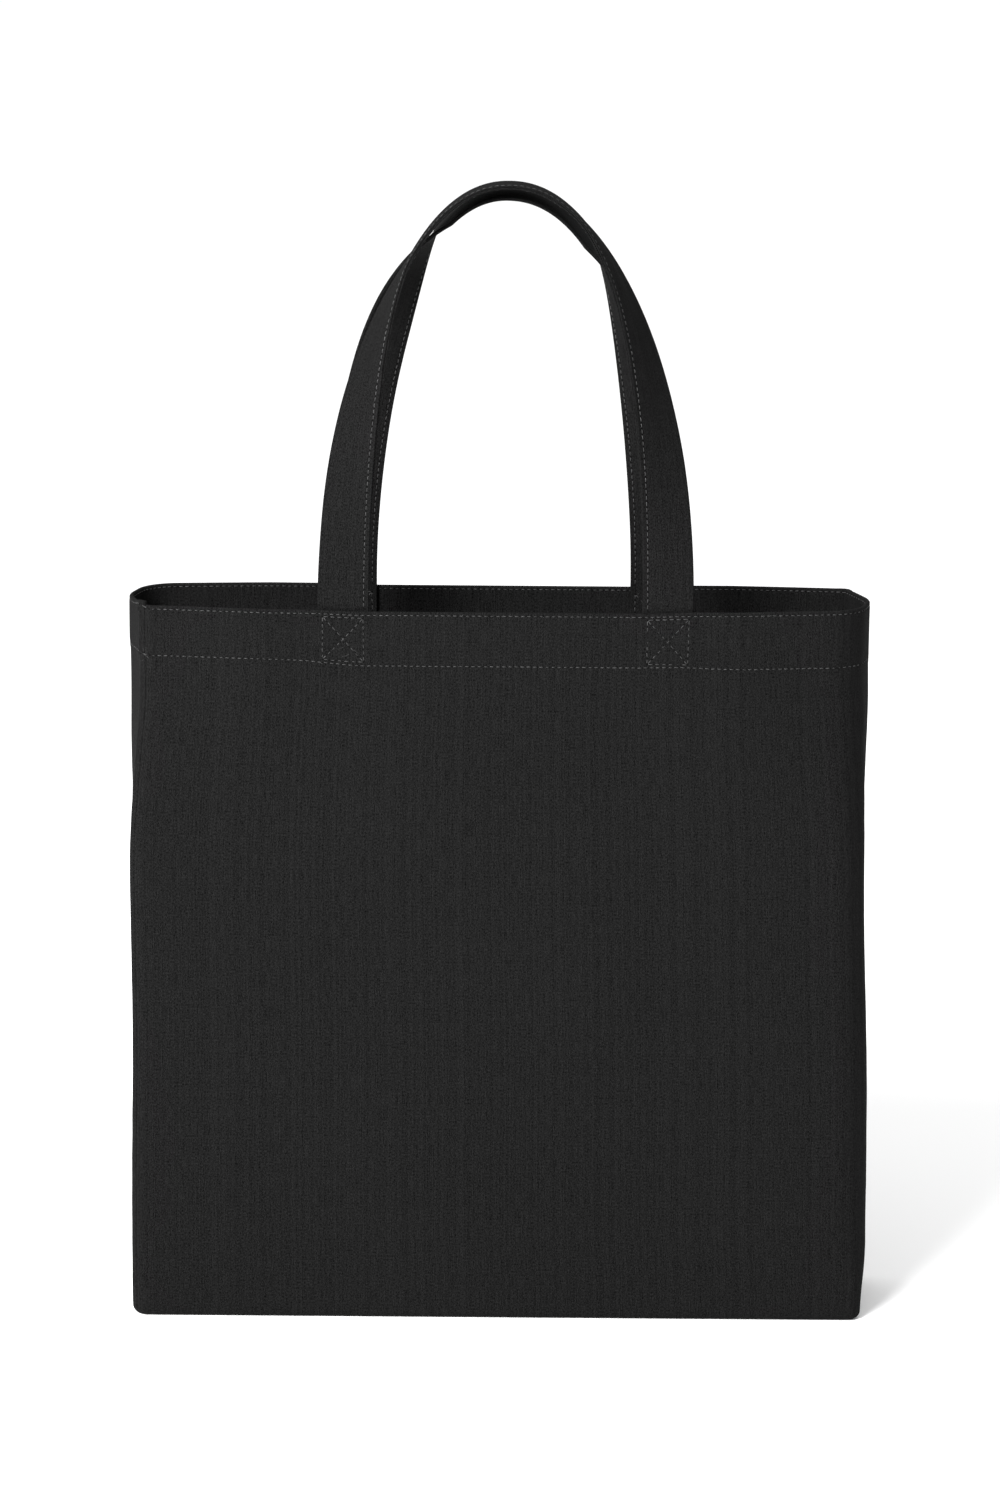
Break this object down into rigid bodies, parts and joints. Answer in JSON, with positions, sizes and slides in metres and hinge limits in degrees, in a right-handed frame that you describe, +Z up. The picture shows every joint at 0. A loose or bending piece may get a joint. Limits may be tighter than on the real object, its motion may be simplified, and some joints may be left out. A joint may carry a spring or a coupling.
{
  "type": "tote bag",
  "caption": "Black canvas tote bag with a boxed flat bottom, folded hem and looped shoulder straps sewn inside the mouth with crossed box stitching.",
  "frame": {"origin": "middle of the flat bottom, on the surface the bag stands on", "axes": "+X to the right seen from the front, +Y from front to back, +Z up"},
  "size_m": [0.3832, 0.0796, 0.5942],
  "materials": {
    "canvas": "matt",
    "thread": "matt"
  },
  "bodies": {
    "bag": {"front_panel": "canvas", "back_panel": "canvas", "left_side_seam_overlock": "thread", "right_side_seam_overlock": "thread", "bottom_seam_overlock": "thread", "left_corner_seam_overlock": "thread", "right_corner_seam_overlock": "thread", "mouth_edge_stitch": "thread", "hem_stitch": "thread", "front_left_handle_end": "canvas", "front_right_handle_end": "canvas", "back_left_handle_end": "canvas", "back_right_handle_end": "canvas", "front_left_box_stitch": "thread", "front_right_box_stitch": "thread", "back_left_box_stitch": "thread", "back_right_box_stitch": "thread"},
    "front_handle": {"front_handle": "canvas", "front_handle_edge_stitch": "thread"},
    "back_handle": {"back_handle": "canvas", "back_handle_edge_stitch": "thread"}
  },
  "joints": [
    {"name": "front_handle_swing", "type": "hinge", "parent": "bag", "child": "front_handle", "pos_m": [0.002, -0.03695, 0.381], "axis": [1, 0, 0], "range_deg": [0, 165]},
    {"name": "back_handle_swing", "type": "hinge", "parent": "bag", "child": "back_handle", "pos_m": [0.002, 0.03695, 0.381], "axis": [-1, 0, 0], "range_deg": [0, 165]}
  ]
}
